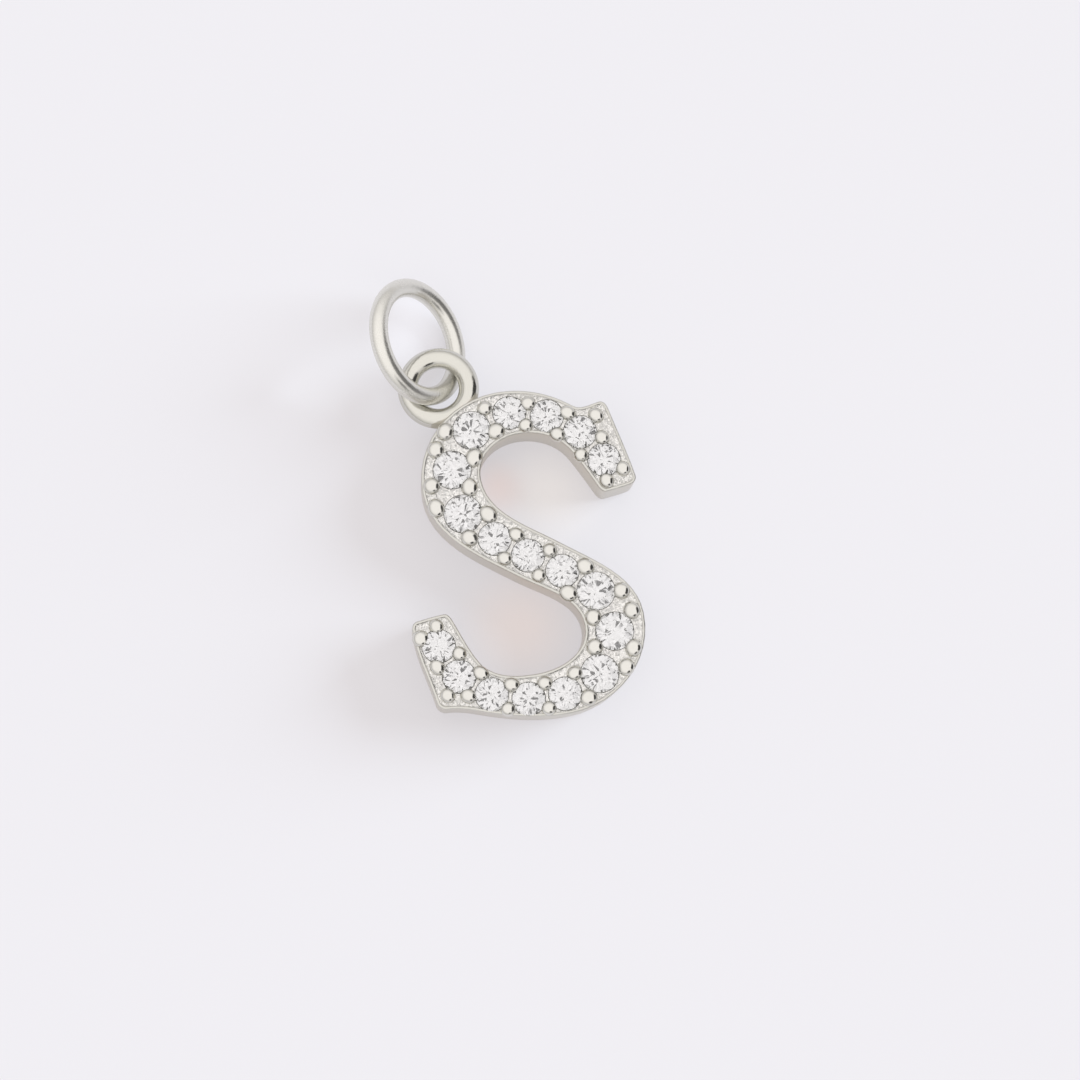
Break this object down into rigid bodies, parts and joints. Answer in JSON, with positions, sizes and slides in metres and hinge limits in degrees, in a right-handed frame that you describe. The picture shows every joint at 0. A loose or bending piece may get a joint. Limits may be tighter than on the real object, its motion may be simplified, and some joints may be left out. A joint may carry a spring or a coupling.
{
  "type": "initial pendant",
  "caption": "Letter S charm, a flat cast letter with stones set in a single line between beads, with a soldered loop on its shoulder and a round jump ring in the loop.",
  "frame": {"origin": "On the flat back of the letter, under the middle of the letter's height and width, where the letter lies on a surface", "axes": "+Z points out of the stone-set face, away from the back. +Y points to the top of the letter, where the loop and the jump ring are. +X points to the right of someone who reads the letter"},
  "size_m": [0.0076, 0.014, 0.0031],
  "materials": {
    "silver": "polished rims, loop and beads, satin side walls and back, finely grained field between the beads",
    "ring_silver": "polished",
    "stone": "clear colourless, faceted and polished"
  },
  "bodies": {
    "root": {"letter_setting": "silver", "jump_ring": "ring_silver", "stone_01": "stone", "stone_02": "stone", "stone_03": "stone", "stone_04": "stone", "stone_05": "stone", "stone_06": "stone", "stone_07": "stone", "stone_08": "stone", "stone_09": "stone", "stone_10": "stone", "stone_11": "stone", "stone_12": "stone", "stone_13": "stone", "stone_14": "stone", "stone_15": "stone", "stone_16": "stone", "stone_17": "stone", "stone_18": "stone"}
  },
  "joints": []
}
